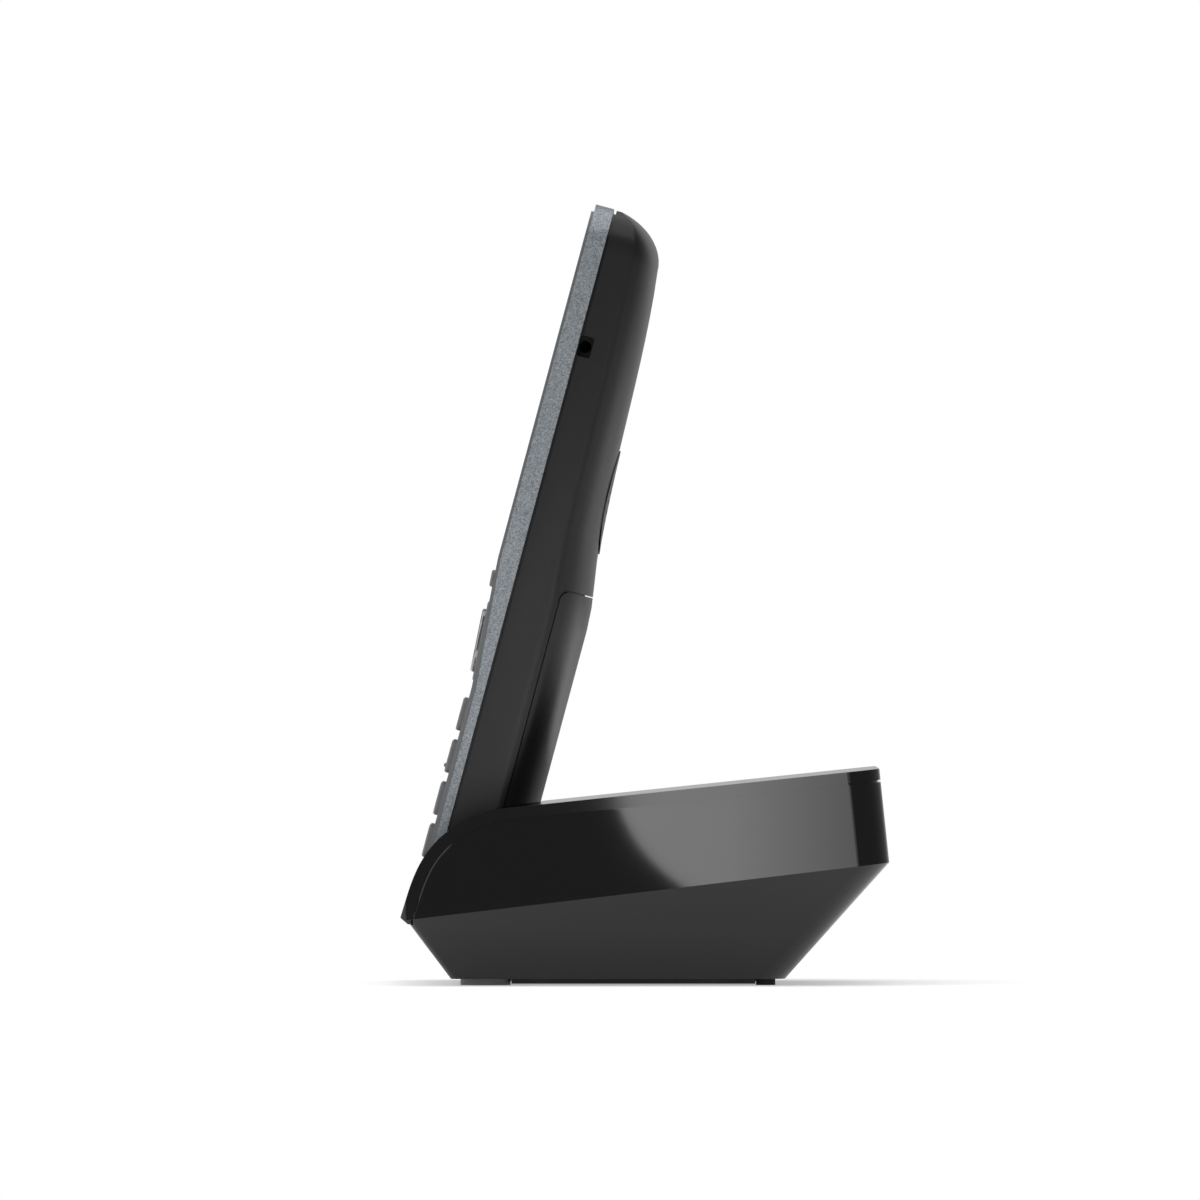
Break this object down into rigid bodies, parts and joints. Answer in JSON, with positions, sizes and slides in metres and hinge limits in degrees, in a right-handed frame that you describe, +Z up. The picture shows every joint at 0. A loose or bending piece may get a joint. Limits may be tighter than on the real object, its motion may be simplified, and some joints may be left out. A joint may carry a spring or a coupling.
{
  "type": "cordless phone with base",
  "caption": "Cordless telephone handset leaning back in a low glossy charging base, with keys, a slide-off battery cover and a lift-out cradle.",
  "frame": {"origin": "middle of the base's footprint, on the surface it stands on", "axes": "+Z up, the handset's face towards -Y, its right side towards +X"},
  "size_m": [0.1, 0.1032, 0.1654],
  "materials": {
    "gloss_black": "gloss",
    "body_black": "gloss",
    "shell_black": "fine satin",
    "frame_metal": "metallic paint",
    "face_black": "gloss",
    "key_grey": "satin",
    "lens": "clear gloss",
    "bright_trim": "polished",
    "board_green": "solder mask",
    "part_black": "matt",
    "silicone": "soft",
    "foot_rubber": "matt",
    "steel": "plated",
    "contact_metal": "plated",
    "cell_wrap": "shrink film"
  },
  "bodies": {
    "base": {"base_top_cover": "gloss_black", "base_body": "body_black", "charging_cradle": "part_black", "contact_holder": "part_black", "base_bottom_plate": "part_black", "base_circuit_board": "board_green", "line_socket": "part_black", "power_socket": "part_black", "base_screws": "steel", "foot_front_left": "foot_rubber", "foot_front_right": "foot_rubber", "foot_rear_left": "foot_rubber", "foot_rear_right": "foot_rubber"},
    "handset": {"handset_front_frame": "frame_metal", "handset_face_plate": "face_black", "display_lens": "lens", "display_module": "steel", "earpiece_grille": "steel", "earpiece_speaker": "part_black", "microphone": "steel", "keypad_mat": "silicone", "handset_circuit_board": "board_green", "handset_rear_shell": "shell_black", "headset_socket": "part_black", "ringer_grille": "shell_black", "ringer_speaker": "part_black", "battery_cell_left": "cell_wrap", "battery_cell_right": "cell_wrap", "battery_springs": "steel", "battery_plates": "steel", "handset_charging_contacts": "contact_metal", "handset_screws": "steel"},
    "battery_cover": {"battery_cover": "shell_black"},
    "navigation_key": {"navigation_key": "key_grey", "navigation_trim": "bright_trim"},
    "paging_key": {"paging_key": "gloss_black"},
    "charging_contact_left": {"charging_contact_left": "contact_metal"},
    "charging_contact_right": {"charging_contact_right": "contact_metal"},
    "key_1": {"key_1": "key_grey"},
    "key_2": {"key_2": "key_grey"},
    "key_3": {"key_3": "key_grey"},
    "key_4": {"key_4": "key_grey"},
    "key_5": {"key_5": "key_grey"},
    "key_6": {"key_6": "key_grey"},
    "key_7": {"key_7": "key_grey"},
    "key_8": {"key_8": "key_grey"},
    "key_9": {"key_9": "key_grey"},
    "key_star": {"key_star": "key_grey"},
    "key_0": {"key_0": "key_grey"},
    "key_hash": {"key_hash": "key_grey"},
    "talk_key": {"talk_key": "key_grey"},
    "end_key": {"end_key": "key_grey"},
    "soft_key_left": {"soft_key_left": "key_grey"},
    "soft_key_right": {"soft_key_right": "key_grey"}
  },
  "joints": [
    {"name": "handset_lift", "type": "slide", "parent": "base", "child": "handset", "axis": [0, 0.2598, 0.9657], "range_m": [0, 0.05]},
    {"name": "battery_cover_slide", "type": "slide", "parent": "handset", "child": "battery_cover", "axis": [0, -0.2598, -0.9657], "range_m": [0, 0.005]},
    {"name": "navigation_key_rock", "type": "hinge", "parent": "handset", "child": "navigation_key", "pos_m": [0, -0.03219, 0.07212], "axis": [1, 0, 0], "range_deg": [-3, 3], "stiffness_Nm_per_rad": 0.02},
    {"name": "paging_key_press", "type": "slide", "parent": "base", "child": "paging_key", "axis": [0, 0.1045, -0.9945], "range_m": [0, 0.001], "stiffness_N_per_m": 400},
    {"name": "charging_contact_left_press", "type": "slide", "parent": "base", "child": "charging_contact_left", "axis": [0, -0.2598, -0.9657], "range_m": [0, 0.0012], "stiffness_N_per_m": 200},
    {"name": "charging_contact_right_press", "type": "slide", "parent": "base", "child": "charging_contact_right", "axis": [0, -0.2598, -0.9657], "range_m": [0, 0.0012], "stiffness_N_per_m": 200},
    {"name": "key_1_press", "type": "slide", "parent": "handset", "child": "key_1", "axis": [0, 0.9657, -0.2598], "range_m": [0, 0.0007], "stiffness_N_per_m": 300},
    {"name": "key_2_press", "type": "slide", "parent": "handset", "child": "key_2", "axis": [0, 0.9657, -0.2598], "range_m": [0, 0.0007], "stiffness_N_per_m": 300},
    {"name": "key_3_press", "type": "slide", "parent": "handset", "child": "key_3", "axis": [0, 0.9657, -0.2598], "range_m": [0, 0.0007], "stiffness_N_per_m": 300},
    {"name": "key_4_press", "type": "slide", "parent": "handset", "child": "key_4", "axis": [0, 0.9657, -0.2598], "range_m": [0, 0.0007], "stiffness_N_per_m": 300},
    {"name": "key_5_press", "type": "slide", "parent": "handset", "child": "key_5", "axis": [0, 0.9657, -0.2598], "range_m": [0, 0.0007], "stiffness_N_per_m": 300},
    {"name": "key_6_press", "type": "slide", "parent": "handset", "child": "key_6", "axis": [0, 0.9657, -0.2598], "range_m": [0, 0.0007], "stiffness_N_per_m": 300},
    {"name": "key_7_press", "type": "slide", "parent": "handset", "child": "key_7", "axis": [0, 0.9657, -0.2598], "range_m": [0, 0.0007], "stiffness_N_per_m": 300},
    {"name": "key_8_press", "type": "slide", "parent": "handset", "child": "key_8", "axis": [0, 0.9657, -0.2598], "range_m": [0, 0.0007], "stiffness_N_per_m": 300},
    {"name": "key_9_press", "type": "slide", "parent": "handset", "child": "key_9", "axis": [0, 0.9657, -0.2598], "range_m": [0, 0.0007], "stiffness_N_per_m": 300},
    {"name": "key_star_press", "type": "slide", "parent": "handset", "child": "key_star", "axis": [0, 0.9657, -0.2598], "range_m": [0, 0.0007], "stiffness_N_per_m": 300},
    {"name": "key_0_press", "type": "slide", "parent": "handset", "child": "key_0", "axis": [0, 0.9657, -0.2598], "range_m": [0, 0.0007], "stiffness_N_per_m": 300},
    {"name": "key_hash_press", "type": "slide", "parent": "handset", "child": "key_hash", "axis": [0, 0.9657, -0.2598], "range_m": [0, 0.0007], "stiffness_N_per_m": 300},
    {"name": "talk_key_press", "type": "slide", "parent": "handset", "child": "talk_key", "axis": [0, 0.9657, -0.2598], "range_m": [0, 0.0007], "stiffness_N_per_m": 300},
    {"name": "end_key_press", "type": "slide", "parent": "handset", "child": "end_key", "axis": [0, 0.9657, -0.2598], "range_m": [0, 0.0007], "stiffness_N_per_m": 300},
    {"name": "soft_key_left_press", "type": "slide", "parent": "handset", "child": "soft_key_left", "axis": [0, 0.9657, -0.2598], "range_m": [0, 0.0007], "stiffness_N_per_m": 300},
    {"name": "soft_key_right_press", "type": "slide", "parent": "handset", "child": "soft_key_right", "axis": [0, 0.9657, -0.2598], "range_m": [0, 0.0007], "stiffness_N_per_m": 300}
  ]
}
